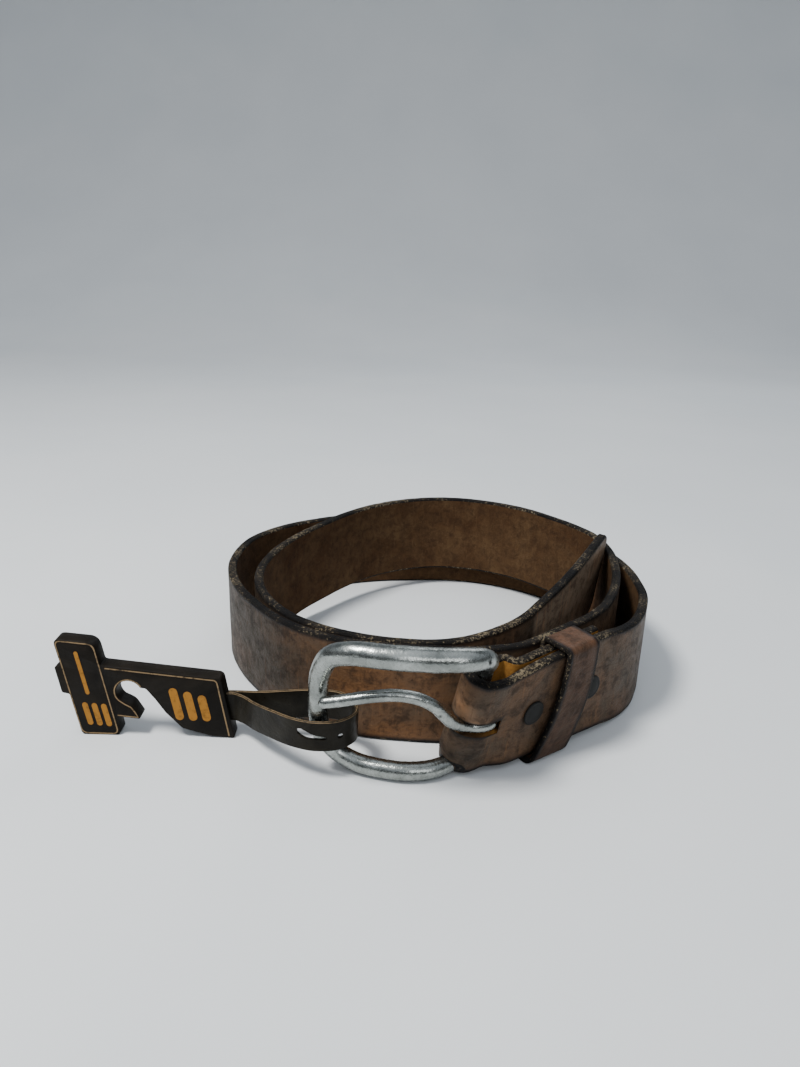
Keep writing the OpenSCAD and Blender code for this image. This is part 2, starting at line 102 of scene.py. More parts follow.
# The buckle's loop from the bar's top to its foot, as [x, y, z, radius]
RAILS = [[37.45, -80.7, 45.4, 3.1], [35.25, -84.7, 48.2, 3.5], [31.25, -87.3, 49.3, 3.8],
         [25.25, -88.7, 49.7, TOP_R], [16.25, -89.6, 50.2, TOP_R], [4.25, -89.6, 50.8, TOP_R],
         [-5.75, -87.3, 50.4, 3.8], [-12.15, -84.1, 47.4, 3.6], [-15.55, -80.8, 40.5, 3.4],
         [-16.75, -78.3, 31.5, RAIL_R], [-16.95, -76.4, 22, RAIL_R], [-15.75, -75.1, 13.5, RAIL_R],
         [-11.25, -74.9, 7, RAIL_R], [-4.25, -76.7, 3.9, RAIL_R], [4.25, -79.1, 3.3, RAIL_R],
         [13.25, -80.3, 3.3, RAIL_R], [21.25, -78.7, 3.3, RAIL_R], [27.05, -75.3, 3.8, 3.1],
         [30.25, -72.5, 5.6, 3]]
PRONG = [[29.75, -80.8, 21.9], [26.65, -83, 24.2], [23.65, -84.4, 27.8], [20.65, -85.3, 31.4],
         [15.75, -85.9, 34.3], [9.05, -86.2, 35.6], [0.45, -86.1, 34.8], [-8.15, -85.1, 32.6],
         [-16.15, -84, 30.6]]
BAND = [[-51, -55.9, 6.5], [-48.75, -55.9, 6.5], [-39.75, -56.9, 7], [-29.75, -57.7, 8.2],
        [-19.75, -59.1, 9.6], [-10.75, -62.3, 10.8], [-5.45, -68.1, 11.4], [-4.95, -75.1, 11.4],
        [-9.75, -80.4, 11.4], [-17.75, -81.4, 11.2], [-24.75, -78.7, 10.6], [-32.75, -72.6, 9.4],
        [-39.75, -66.3, 8.2], [-45.75, -59.7, 7], [-48.75, -57.6, 6.6], [-51, -57.3, 6.5]]
PLATE_FOOT, PLATE_BACK = -89.75, -53.35
HOOK_AT, HOOK_R = np.array([4.3, 17.6]), 4.5
PLATE = ([[0, 0], [-13.8, 0], [-16.6, 16.3], [-19.2, 16.8], [-20.8, 27], [-18.4, 27.4],
          [-20.3, 37.8], [-6.2, 36.6], [-4.7, 27.9], [37, 23.9], [40.8, 0], [33, 0.6],
          [22.4, 3.5], [16.6, 10], [13.5, 15], [10.4, 19.2]]
         + [list(HOOK_AT + HOOK_R * np.array([math.cos(math.radians(a)), math.sin(math.radians(a))]))
            for a in range(25, 230, 12)]
         + [[4.9, 12.3], [7.9, 6.8], [-1, 7.7]])


# ---- Curves and meshes ----

def smooth(points, step, closed=False):
    """Points about one step apart on the smooth curve through some points."""
    p = np.array(points, float)
    if closed:
        p = np.vstack([p[-1], p, p[:2]])
    d = np.linalg.norm(np.diff(p[:, :3], axis=0), axis=1)
    s = np.diff(p, axis=0) / d[:, None]
    m = np.vstack([s[:1], s[:1], s[1:]])
    m[1:-1] = (s[:-1] * d[1:, None] + s[1:] * d[:-1, None]) / (d[:-1] + d[1:])[:, None]
    out = []
    for i in range(1, len(p) - 2) if closed else range(len(p) - 1):
        for t in np.arange(math.ceil(d[i] / step)) / math.ceil(d[i] / step):
            out.append((2 * t**3 - 3 * t**2 + 1) * p[i] + (t**3 - 2 * t**2 + t) * d[i] * m[i]
                       + (3 * t**2 - 2 * t**3) * p[i + 1] + (t**3 - t**2) * d[i] * m[i + 1])
    return np.array(out if closed else out + [p[-1]])


def ahead(p, i, closed=False):
    """Direction of travel at point i."""
    n = len(p)
    a, b = (p[(i - 1) % n], p[(i + 1) % n]) if closed else (p[max(0, i - 1)], p[min(n - 1, i + 1)])
    return unit(b[:3] - a[:3])


def reach(p):
    """Distances from the first point to each point."""
    return np.concatenate([[0], np.cumsum(np.linalg.norm(np.diff(p[:, :3], axis=0), axis=1))])


def mesh_piece(name, verts, faces, body, materials, zones=None, sharp=45):
    mesh = bpy.data.meshes.new(name)
    mesh.from_pydata([tuple(np.array(v) * MM) for v in verts], [], faces)
    mesh.validate()
    piece = bpy.data.objects.new(name, mesh)
    bpy.context.scene.collection.objects.link(piece)
    for m in materials:
        mesh.materials.append(m)
    for polygon in mesh.polygons:
        polygon.use_smooth = True
        if zones is not None:
            polygon.material_index = zones[polygon.index]
    mesh.set_sharp_from_angle(angle=math.radians(sharp))
    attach(piece, body)
    return piece


def add_values(mesh, name, values):
    """A value for each vertex, which the materials read by its name."""
    layer = mesh.attributes.new(name, "FLOAT", "POINT")
    layer.data.foreach_set("value", np.array(values, np.float32))


def skin(rings, closed=False):
    """Vertices and faces of a skin over rings of points, with both ends closed."""
    n, m = len(rings), len(rings[0])
    faces = [(i * m + j, i * m + (j + 1) % m, (i + 1) % n * m + (j + 1) % m, (i + 1) % n * m + j)
             for i in range(n if closed else n - 1) for j in range(m)]
    if not closed:
        faces += [tuple(range(m - 1, -1, -1)), tuple(range((n - 1) * m, n * m))]
    return [q for ring in rings for q in ring], faces


def tube(name, path, sides, body, material, closed=False):
    """A tube along points [x, y, z, radius]."""
    rings = []
    side = None
    for i, q in enumerate(path):
        d = ahead(path, i, closed)
        side = unit(np.cross([0.2, -1, -0.2], d)) if side is None else unit(side - d * np.dot(side, d))
        other = np.cross(d, side)
        rings.append([q[:3] + q[3] * (side * math.cos(a) - other * math.sin(a))
                      for a in 2 * math.pi * np.arange(sides) / sides])
    if closed:
        # The last ring may have turned against the first, so the turn is spread over the loop
        first, last = rings[0], rings[-1]
        turn = min(range(sides), key=lambda k: np.linalg.norm(np.array(last[k]) - first[0]))
        span = len(rings)
        for i, q in enumerate(path):
            d = ahead(path, i, True)
            a = 2 * math.pi * turn / sides * i / span
            c = q[:3]
            rings[i] = [c + (v - c) * math.cos(a) - np.cross(d, v - c) * math.sin(a) for v in rings[i]]
    verts, faces = skin(rings, closed)
    return mesh_piece(name, verts, faces, body, [material])


def rim(w, t, r, rows, cols=3, steps=3):
    """Cross-section of a leather band: [offset outwards, height, zone of the face that follows].
    Zone 0 is the outer face, 1 an edge and 2 the inner face."""
    def arc(cx, cy, a):
        return [[cx + r * math.cos(math.radians(a + 90 * k / steps)),
                 cy + r * math.sin(math.radians(a + 90 * k / steps)), 1] for k in range(steps)]
    heights = [r + (w - 2 * r) * (0.5 - 0.5 * math.cos(math.pi * k / rows)) for k in range(rows + 1)]
    across = [(t / 2 - r) * (1 - 2 * k / cols) for k in range(cols + 1)]
    ring = [[t / 2, h, 0] for h in heights[:-1]]
    ring += arc(t / 2 - r, w - r, 0) + [[o, w, 1] for o in across[:-1]] + arc(r - t / 2, w - r, 90)
    ring += [[-t / 2, h, 2] for h in heights[:0:-1]]
    ring += arc(r - t / 2, r, 180) + [[-o, 0, 1] for o in across[:-1]] + arc(t / 2 - r, r, 270)
    return ring


def cut(piece, cutters):
    """Takes the cutters' shapes out of a piece, and removes the cutters."""
    for cutter in cutters:
        change = piece.modifiers.new("cut", "BOOLEAN")
        change.object, change.operation, change.solver = cutter, "DIFFERENCE", "EXACT"
    mesh = bpy.data.meshes.new_from_object(
        piece.evaluated_get(bpy.context.evaluated_depsgraph_get()))
    piece.modifiers.clear()
    piece.data = mesh
    for polygon in mesh.polygons:
        polygon.use_smooth = True
    mesh.set_sharp_from_angle(angle=math.radians(45))
    for cutter in cutters:
        bpy.data.objects.remove(cutter)


def cutter(verts, faces, zone, zones=3):
    """A shape to cut with, whose cut faces take the piece's material number zone."""
    mesh = bpy.data.meshes.new("cutter")
    mesh.from_pydata([tuple(np.array(v) * MM) for v in verts], [], faces)
    for _ in range(zones):
        mesh.materials.append(None)
    for polygon in mesh.polygons:
        polygon.material_index = zone
    shape = bpy.data.objects.new("cutter", mesh)
    bpy.context.scene.collection.objects.link(shape)
    return shape


def bar_at(z):
    """The point of the heel bar's axis at a height."""
    return BAR_FOOT + BAR_DIR * z / BAR_DIR[2]


def rod(start, end, radius, zone, zones=3, sides=48):
    """A straight round cutter between two points."""
    d = unit(np.array(end) - start)
    a = unit(np.cross(d, [0.3, 1, 0.2]))
    b = np.cross(d, a)
    rings = [[np.array(c) + radius * (a * math.cos(t) + b * math.sin(t))
              for t in 2 * math.pi * np.arange(sides) / sides] for c in (start, end)]
    return cutter(*skin(rings), zone, zones)


# ---- Materials ----

class Surface:
    """A material, with short calls that add its nodes."""

    def __init__(self, name):
        self.mat = bpy.data.materials.new(name)
        self.mat.use_nodes = True
        self.nodes, self.links = self.mat.node_tree.nodes, self.mat.node_tree.links
        self.bsdf = self.nodes["Principled BSDF"]

    def feed(self, socket, value):
        if isinstance(value, bpy.types.NodeSocket):
            self.links.new(value, socket)
        else:
            socket.default_value = value

    def set(self, **values):
        for name, value in values.items():
            self.feed(self.bsdf.inputs[name.replace("_", " ")], value)
        return self.mat

    def node(self, kind, inputs, **settings):
        n = self.nodes.new("ShaderNode" + kind)
        for name, value in settings.items():
            setattr(n, name, value)
        for name, value in inputs.items():
            self.feed(n.inputs[name], value)
        return n

    def coords(self, scale=(1, 1, 1), uv=False):
        place = self.node("TexCoord", {}).outputs["UV" if uv else "Object"]
        return self.node("Mapping", {"Vector": place, "Scale": scale}).outputs[0]

    def noise(self, vector, scale, detail=4.0, roughness=0.6, distortion=0.0):
        return self.node("TexNoise", {"Vector": vector, "Scale": scale, "Detail": detail,
                                      "Roughness": roughness, "Distortion": distortion}).outputs[0]

    def cells(self, vector, scale, feature="F1"):
        return self.node("TexVoronoi", {"Vector": vector, "Scale": scale}, feature=feature).outputs[0]

    def span(self, value, lo, hi, out_lo=0.0, out_hi=1.0):
        return self.node("MapRange", {"Value": value, "From Min": lo, "From Max": hi,
                                      "To Min": out_lo, "To Max": out_hi}).outputs[0]

    def calc(self, operation, a, b=0.0):
        return self.node("Math", {0: a, 1: b}, operation=operation).outputs[0]

    def mix(self, share, a, b):
        a, b = [(*c, 1.0) if isinstance(c, tuple) else c for c in (a, b)]
        return self.node("Mix", {0: share, 6: a, 7: b}, data_type="RGBA").outputs[2]

    def scale(self, colour, share):
        return self.node("VectorMath", {0: colour, "Scale": share}, operation="SCALE").outputs[0]

    def attribute(self, name):
        return self.node("Attribute", {}, attribute_name=name).outputs["Fac"]

    def bumps(self, *layers):
        """Stacks bumps, each as (height, distance in mm, strength)."""
        normal = None
        for height, distance, strength in layers:
            inputs = {"Height": height, "Distance": distance * MM, "Strength": strength}
            if normal is not None:
                inputs["Normal"] = normal
            normal = self.node("Bump", inputs).outputs[0]
        self.set(Normal=normal)


def grain_leather(name, grey, warm, dark, width):
    """The outer face: mottled, scratched both ways and darker along its edges."""
    m = Surface(name)
    uv = m.coords(uv=True)
    patches = m.noise(uv, 38, 5, 0.65, 0.6)
    mottle = m.noise(uv, 190, 6, 0.72, 0.3)
    specks = m.noise(uv, 560, 4, 0.65)
    pores = m.cells(uv, 1100)
    grain = m.noise(uv, 1900, 5, 0.75)
    across = m.noise(m.coords((700, 45, 1), True), 1, 5, 0.8)
    along = m.noise(m.coords((26, 620, 1), True), 1, 4, 0.75)
    tone = m.calc("ADD", m.attribute("tone"), m.span(patches, 0.33, 0.67, -0.35, 0.35))
    colour = m.mix(m.span(tone, 0, 1), grey, warm)
    colour = m.mix(m.span(mottle, 0.47, 0.62, 0, 0.75), colour, dark)
    colour = m.mix(m.span(across, 0.56, 0.7, 0, 0.42), colour, tuple(1.7 * c for c in warm))
    colour = m.mix(m.span(across, 0.44, 0.32, 0, 0.45), colour, dark)
    colour = m.mix(m.span(along, 0.6, 0.72, 0, 0.45), colour, tuple(0.6 * c for c in dark))
    colour = m.mix(m.span(specks, 0.63, 0.7, 0, 0.75), colour, tuple(0.4 * c for c in dark))
    height = m.node("SeparateXYZ", {0: uv}).outputs[1]
    inset = m.calc("MINIMUM", height, m.calc("SUBTRACT", width * MM, height))
    inset = m.calc("ADD", inset, m.span(mottle, 0.3, 0.7, -0.0006, 0.0006))
    # The colour is multiplied by the shade values, which hold real stains and also painted light and shade
    colour = m.scale(colour, m.attribute("shade"))
    colour = m.mix(m.span(inset, 0.0010, 0.0024, 0.97, 0), colour, (0.005, 0.004, 0.004))
    m.bumps((patches, 1.6, 0.5), (mottle, 0.8, 0.5), (specks, 0.3, 0.5), (pores, 0.12, 0.5),
            (grain, 0.12, 0.6), (across, 0.2, 0.35), (along, 0.2, 0.3))
    return m.set(Base_Color=colour, Roughness=m.span(mottle, 0.3, 0.7, 0.42, 0.68),
                 Specular_IOR_Level=0.16)


def edge_leather():
    """The cut edges: black paint, rubbed through in pale flecks."""
    m = Surface("edge_leather")
    place = m.coords()
    flecks = m.noise(place, 1000, 5, 0.8)
    zones = m.noise(place, 60, 3, 0.6)
    fibres = m.noise(place, 2400, 4, 0.75)
    rubbed = m.span(m.calc("ADD", flecks, m.calc("MULTIPLY", zones, 0.4)), 0.765, 0.81)
    colour = m.mix(m.span(zones, 0.35, 0.65), (0.003, 0.0028, 0.003), (0.012, 0.0095, 0.008))
    colour = m.mix(rubbed, colour, (0.17, 0.135, 0.085))
    colour = m.mix(m.span(fibres, 0.62, 0.68, 0, 0.35), colour, (0.08, 0.065, 0.045))
    m.bumps((flecks, 0.9, 0.8), (fibres, 0.3, 0.7))
    return m.set(Base_Color=colour, Roughness=m.span(flecks, 0.3, 0.7, 0.5, 0.8),
                 Specular_IOR_Level=0.1)


def flesh_leather():
    """The inner face: matt, fibrous, and ochre where the tail is pared thin."""
    m = Surface("flesh_leather")
    place = m.coords()
    patches = m.noise(place, 45, 5, 0.65, 0.8)
    mottle = m.noise(place, 240, 6, 0.78, 0.4)
    fibres = m.noise(place, 1300, 5, 0.85)
    hairs = m.noise(m.coords((900, 90, 1), True), 1, 5, 0.85)
    colour = m.mix(m.span(patches, 0.34, 0.66), (0.044, 0.020, 0.008), (0.082, 0.046, 0.021))
    colour = m.mix(m.span(mottle, 0.42, 0.66, 0, 0.75), colour, (0.024, 0.012, 0.006))
    colour = m.mix(m.span(hairs, 0.56, 0.7, 0, 0.4), colour, (0.13, 0.075, 0.036))
    colour = m.mix(m.span(fibres, 0.58, 0.7, 0, 0.5), colour, (0.14, 0.09, 0.045))
    ochre = m.mix(m.span(mottle, 0.35, 0.65), (0.40, 0.19, 0.040), (0.23, 0.105, 0.024))
    colour = m.mix(m.attribute("pared"), colour, ochre)
    m.bumps((patches, 1.2, 0.4), (mottle, 0.7, 0.6), (fibres, 0.3, 0.8), (hairs, 0.25, 0.5))
    return m.set(Base_Color=colour, Roughness=0.9, Specular_IOR_Level=0.12)


def worn_metal():
    """Tumbled nickel: soft scratches, small dents and dark pits."""
    m = Surface("worn_metal")
    place = m.coords()
    cloud = m.noise(place, 80, 5, 0.62, 0.5)
    dents = m.noise(place, 260, 4, 0.6)
    scuff = m.noise(place, 800, 6, 0.8)
    scratch = m.noise(m.coords((260, 2400, 2400)), 1, 3, 0.7)
    pits = m.cells(place, 190)
    pit = m.calc("MULTIPLY", m.span(pits, 0.07, 0.2, 1, 0), m.span(cloud, 0.55, 0.6))
    colour = m.mix(m.span(cloud, 0.32, 0.68), (0.17, 0.182, 0.17), (0.40, 0.42, 0.40))
    colour = m.mix(m.span(scuff, 0.5, 0.7, 0, 0.6), colour, (0.13, 0.135, 0.125))
    colour = m.mix(pit, colour, (0.02, 0.02, 0.02))
    rough = m.calc("ADD", m.span(cloud, 0.3, 0.7, 0.20, 0.28), m.span(scuff, 0.45, 0.75, 0, 0.16))
    m.bumps((cloud, 1.6, 0.3), (dents, 0.4, 0.4), (scuff, 0.05, 0.4), (scratch, 0.04, 0.35),
            (pit, 0.4, 0.5))
    return m.set(Base_Color=colour, Metallic=1.0, Roughness=rough)


def dark_paint():
    """The snap caps: matt black with the metal rubbed through a little."""
    m = Surface("dark_paint")
    place = m.coords()
    scuff = m.noise(place, 900, 5, 0.7)
    grain = m.noise(place, 4000, 3, 0.7)
    colour = m.mix(m.span(scuff, 0.35, 0.7), (0.005, 0.005, 0.005), (0.014, 0.014, 0.013))
    colour = m.mix(m.span(grain, 0.66, 0.75, 0, 0.5), colour, (0.09, 0.09, 0.085))
    m.bumps((scuff, 0.08, 0.5), (grain, 0.03, 0.5))
    return m.set(Base_Color=colour, Roughness=m.span(scuff, 0.3, 0.7, 0.42, 0.62),
                 Specular_IOR_Level=0.12)


def moulded_plastic(name, colour_a, colour_b, rough):
    """Dark moulded plastic with fine grain and faint flow marks."""
    m = Surface(name)
    place = m.coords()
    flow = m.noise(place, 60, 4, 0.6, 1.2)
    grain = m.noise(place, 2400, 4, 0.7)
    scuff = m.noise(place, 420, 5, 0.75)
    colour = m.mix(m.span(flow, 0.35, 0.65), colour_a, colour_b)
    colour = m.mix(m.span(scuff, 0.62, 0.74, 0, 0.3), colour, (0.045, 0.036, 0.028))
    m.bumps((flow, 1.2, 0.35), (scuff, 0.2, 0.4), (grain, 0.06, 0.5))
    return m.set(Base_Color=colour, Roughness=m.span(scuff, 0.3, 0.7, rough, rough + 0.16),
                 Specular_IOR_Level=0.09)


def worn_line(name, pale, under):
    """The thin rubbed line along a moulded edge, and the ochre print: broken in places."""
    m = Surface(name)
    place = m.coords()
    breaks = m.noise(place, 500, 5, 0.7)
    fine = m.noise(place, 2500, 3, 0.7)
    colour = m.mix(m.span(breaks, 0.5, 0.66), pale, under)
    m.bumps((breaks, 0.04, 0.5), (fine, 0.02, 0.5))
    return m.set(Base_Color=colour, Roughness=0.6, Specular_IOR_Level=0.1)


GRAIN = grain_leather("grain_leather", (0.076, 0.057, 0.040), (0.150, 0.072, 0.031),
                      (0.026, 0.016, 0.010), STRAP_W)
KEEPER_GRAIN = grain_leather("keeper_grain", (0.075, 0.046, 0.029), (0.105, 0.046, 0.022),
                             (0.026, 0.014, 0.008), KEEPER_W)
EDGE = edge_leather()
FLESH = flesh_leather()
METAL = worn_metal()
PAINT = dark_paint()
PLATE_MAT = moulded_plastic("plate_plastic", (0.0045, 0.0035, 0.0025), (0.011, 0.0085, 0.006), 0.40)
BAND_MAT = moulded_plastic("band_plastic", (0.006, 0.005, 0.0035), (0.015, 0.013, 0.009), 0.24)
LINE = worn_line("worn_line", (0.22, 0.15, 0.08), (0.02, 0.015, 0.011))
PRINT = worn_line("ochre_print", (0.33, 0.145, 0.022), (0.19, 0.085, 0.016))


# ---- The strap ----

def flat_at(s, shift):
    """A point of the straight stretch at a distance from the bar, shifted inwards."""
    return FLAT_START + FLAT_DIR * (s - FLAT_S) + FLAT_IN * shift


def flat_top(s):
    """The sideways shift of the straight stretch's top."""
    return FLAT_TILT * (1 - (s - FLAT_S) / (FLAT_END - FLAT_S))


def flat(s, shift):
    return [*flat_at(s, shift), FOLD_RISE, *flat_top(s)]


def strap_route():
    arc = BAR_R + LEATHER_GAP + STRAP_T / 2
    tail = [flat(61, LAYER_SHIFT), flat(20, LAYER_SHIFT), flat(19, LAYER_SHIFT),
            [39.25, -63.6, FOLD_RISE, 4.6, -4.2]]
    fold = []
    for a in range(90, 271, 30):
        q = bar_at(FOLD_RISE) + arc * (math.cos(math.radians(a)) * BAR_X + math.sin(math.radians(a)) * BAR_Y)
        fold.append([*q, *BAR_SHIFT])
    front = [[38.25, -74.9, FOLD_RISE, 5.2, -5.4]] + [flat(s, 0) for s in (18, 19, 59, 60)]
    route = smooth(tail + fold + front + TURN_1 + TURN_2 + TURN_3, 2.0)
    route[:, 2] = np.maximum(route[:, 2], 0)
    return route


def corner(s):
    """How much the tip's rounded corners take off each edge, at a distance from the tip."""
    return 0 if s >= TIP_R else TIP_R - math.sqrt(TIP_R**2 - (TIP_R - s)**2)


def ripple(at, size, seed):
    """Smooth unevenness between about -1 and 1."""
    return noise.noise(Vector((at / size, seed, 0)))


def ease(t):
    """A smooth step from 0 to 1."""
    t = min(1, max(0, t))
    return t * t * (3 - 2 * t)


def uneven(s, o, h, lost):
    """A point of the cross-section with the ripples of soft leather and hand-cut edges, at a
    distance along the strap; lost is what the tip's corner takes off."""
    side = 2 * h / STRAP_W - 1
    o = o + 0.10 * ripple(s, 9, h / 9) * (1 if o > 0 else 0.5)
    height = lost + h * (STRAP_W - 2 * lost) / STRAP_W
    return o, height - side**7 * (0.05 + 0.2 * abs(ripple(s, 5, 40 + o)))


def fold_shape(s, share, tail_end, fold_end):
    """How far the leather round the fold stands out and rises, at a share of its height."""
    def hump(middle, size):
        return math.exp(-((s - middle) / size)**2)
    pinch = -1.1 * hump(fold_end + 7 + 5 * share, 4.5)
    lobe = 0.6 * math.sin(math.pi * share) + 1.3 * math.exp(-((share - 0.22) / 0.16)**2)
    lift = 1.3 * share**2 * hump((tail_end + fold_end) / 2, 8) - 2.0 * share**2 * hump(fold_end + 11, 7)
    if s < tail_end:
        lift += 1.2 * share * hump(tail_end - 8, 7)
    return pinch + lobe * hump(fold_end - 6, 7), lift


# Lengths of the pared tail, of the front layer with the keeper, and of the stretch at the tip, which is
# greyer and painted much lighter
PARED, FRONT_LAYER, TIP_STRETCH = 62, 60, 75


def blot(x, y, middle, size):
    """A soft round spot: 1 at its middle, fading over its size each way."""
    return math.exp(-((x - middle[0]) / size[0])**2 - ((y - middle[1]) / size[1])**2)


def wear_and_painted_light(s, q, h, total, fold_end):
    """Warmth, brightness and paring of the leather, at a distance along it, a place and a height:
    the pared tail, the rubbed fold and front layer, the tip, the part behind the buckle, the rest.
    The brightness holds real stains and also painted light and shade."""
    from_fold = s - fold_end
    if s < PARED:
        return 0.3, 0.75, 1.0
    if from_fold < FRONT_LAYER:
        # Painted highlights: two lighter, warmer spots high on the fold
        painted_highlight = blot(from_fold, h, (-5, 27), (3.5, 3)) + 0.8 * blot(from_fold, h, (-1, 23), (4, 2.2))
        dark = 0.7 * blot(from_fold, h, (19, 20), (8, 8)) + blot(from_fold, h, (-4, 9), (1.3, 1.5))
        dark += blot(from_fold, h, (0, 8), (1.3, 1.8)) + 0.5 * blot(from_fold, h, (27, 20), (4, 30))
        low = math.exp(-(from_fold / 12)**2) * math.exp(-((h - 8) / 9)**2)
        # Painted shade: the fold is painted darker, lightening over the first 12 mm past it; the painted
        # highlights lighten it and the stains darken it
        shade = 0.68 + 0.25 * ease(from_fold / 12) + 1.2 * painted_highlight - 0.45 * dark
        return 0.38 + 0.3 * painted_highlight - 0.25 * low, max(0.3, shade), 0.0
    # Painted light: the stretch at the tip is greyer and painted much lighter
    if s > total - TIP_STRETCH:
        return -0.1, 2.4, 0.0
    front = q[1] < -25 and s > 170
    # Behind the buckle the leather is warmer, and painted lighter where the buckle's shade falls; low is
    # painted light on its lower part, making it greyer and a little lighter, and band makes a narrow
    # lighter, warmer line at 19.5 mm
    behind = math.exp(-((q[0] - 4) / 26)**2) if front and q[1] < -40 else 0
    low = behind * math.exp(-((h - 11) / 7)**2)
    band = behind * math.exp(-((h - 19.5) / 1.6)**2)
    # Painted shade: the leather is painted darker towards the coil's left side
    left = 1 / (1 + math.exp((q[0] + 22) / 6)) if q[1] < 20 else 0
    shade = (0.82 + 0.14 * behind + 0.02 * low + 0.25 * band) * (1 - 0.42 * left)
    return 0.12 + 0.95 * behind - 0.35 * low + 0.3 * band, shade, 0.0


def make_strap():
    route = strap_route()
    done = reach(route)
    total = done[-1]
    # Extra stations round the tip's corners
    ends = [total - s for s in (4.2, 3.4, 2.6, 1.9, 1.3, 0.8, 0.4, 0.12)]
    stops = sorted([d for d in done if d < total - TIP_R] + ends + [total])
    path = np.array([[np.interp(s, done, route[:, k]) for k in range(5)] for s in stops])
    section = rim(STRAP_W, STRAP_T, 1.0, 14, 4, 4)
    # Where the tail meets the bar, and where the front layer leaves it
    near = [np.linalg.norm(q[:2] - bar_at(FOLD_RISE)[:2]) < 5.6 for q in path]
    tail_end = stops[near.index(True)]
    fold_end = stops[len(near) - 1 - near[::-1].index(True)]
    rings, looks = [], []
    for i, q in enumerate(path):
        s = stops[i]
        d = ahead(path, i)
        up = unit([q[3], q[4], math.sqrt(STRAP_W**2 - q[3]**2 - q[4]**2)])
        out = unit(np.cross(d, up))
        lost = corner(total - s)
        ring = []
        for o, h, _ in section:
            o, height = uneven(s, o, h, lost)
            bulge, lift = fold_shape(s, h / STRAP_W, tail_end, fold_end)
            ring.append(q[:3] + out * (o + bulge) + up * (height + lift))
        rings.append(ring)
        looks += [wear_and_painted_light(s, q, h, total, fold_end) for _, h, _ in section]
    verts, faces = skin(rings)
    m = len(section)
    zones = [section[j][2] for _ in range(len(rings) - 1) for j in range(m)] + [1, 1]
    piece = mesh_piece("strap_leather", verts, faces, "belt", [GRAIN, EDGE, FLESH], zones)
    mesh = piece.data
    for k, name in enumerate(("tone", "shade", "pared")):
        add_values(mesh, name, [look[k] for look in looks])
    grid = mesh.uv_layers.new(name="UVMap")
    for polygon in mesh.polygons:
        for loop in polygon.loop_indices:
            v = mesh.loops[loop].vertex_index
            grid.data[loop].uv = (stops[v // m] * MM, section[v % m][1] * MM)
    cutters = [rod(bar_at(EYE_Z - SLOT_HALF), bar_at(EYE_Z + SLOT_HALF), SLOT_R, 2)]
    cutters += rail_notches()
    for s in (SNAP_S, SNAP_S + SNAP_PITCH):
        place = snap_place(s)
        back, front = [np.array(place @ Vector((0, 0, z))) for z in (-9, 3)]
        cutters.append(rod(back, front, SNAP_HOLE_R, 1))
    for k in range(HOLE_COUNT):
        cutters.append(prong_hole(path, stops, total - FIRST_HOLE - HOLE_PITCH * k))
    cut(piece, cutters)
    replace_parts(piece, "strap")


def rail_notches():
    """Room in the fold for the bottom rail's end, over the buckle's swing."""
    ends = RAILS[-4:] + [[*bar_at(BAR_LO), BAR_R]]
    path = smooth([[*q[:3], q[3] + NOTCH_PLAY] for q in ends], 2.5)
    shapes = []
    for angle in (-4, 4, 12, 20, 29):
        turn = Matrix.Rotation(math.radians(angle), 4, Vector(BAR_DIR))
        home = Vector(BAR_FOOT)
        moved = [[*(turn @ (Vector(q[:3]) - home) + home), q[3]] for q in path]
        rings = []
        moved = np.array(moved)
        for i, q in enumerate(moved):
            d = ahead(moved, i)
            a = unit(np.cross([0.2, -1, -0.2], d))
            b = np.cross(d, a)
            rings.append([q[:3] + q[3] * (a * math.cos(t) - b * math.sin(t))
                          for t in 2 * math.pi * np.arange(20) / 20])
        shapes.append(cutter(*skin(rings), 1))
    return shapes


def prong_hole(path, stops, s):
    """A cutter through the strap at a distance along it."""
    q = [np.interp(s, stops, path[:, k]) for k in range(3)]
    a = [np.interp(s - 2, stops, path[:, k]) for k in range(3)]
    d = unit([q[0] - a[0], q[1] - a[1], 0])
    out = np.array([d[1], -d[0], 0])
    middle = np.array([q[0], q[1], q[2] + STRAP_W / 2])
    return rod(middle - out * STRAP_T, middle + out * STRAP_T, HOLE_R, 1, sides=28)


# ---- The buckle and prong ----

def make_buckle():
    bar = [[*bar_at(z), BAR_R] for z in np.linspace(BAR_LO, BAR_HI, 7)]
    path = smooth(RAILS + bar, 1.6, closed=True)
    for i, q in enumerate(path):
        q[3] *= 1 + 0.012 * noise.noise(Vector(q[:3] / 7.0))
    piece = tube("buckle_metal", path, 36, "buckle", METAL, closed=True)
    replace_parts(piece, "buckle_frame")


def make_prong():
    """One bent wire: a loop round the bar, the S of its arm, and a rounded tip on the side rail."""
    turn = BAR_R + EYE_CLEAR + PRONG_R
    eye = []
    for a in range(165, -90, -15):
        c, s = math.cos(math.radians(a)), math.sin(math.radians(a))
        reach_x = turn + 2.2 * max(0, c)
        eye.append(bar_at(EYE_Z) + reach_x * c * BAR_X + turn * s * BAR_Y)
    wire = smooth([[*q, PRONG_R] for q in eye + [bar_at(EYE_Z) - turn * BAR_Y] + PRONG], 0.8)
    left = reach(wire)[-1] - reach(wire)
    start = reach(wire)
    for i, q in enumerate(wire):
        for gap in (left[i], start[i]):
            if gap < PRONG_R:
                q[3] = PRONG_R * math.sqrt(max(0.02, 1 - (1 - gap / PRONG_R)**2))
    piece = tube("prong_metal", wire, 28, "buckle_prong", METAL)
    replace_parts(piece, "prong")


# ---- The keeper ----

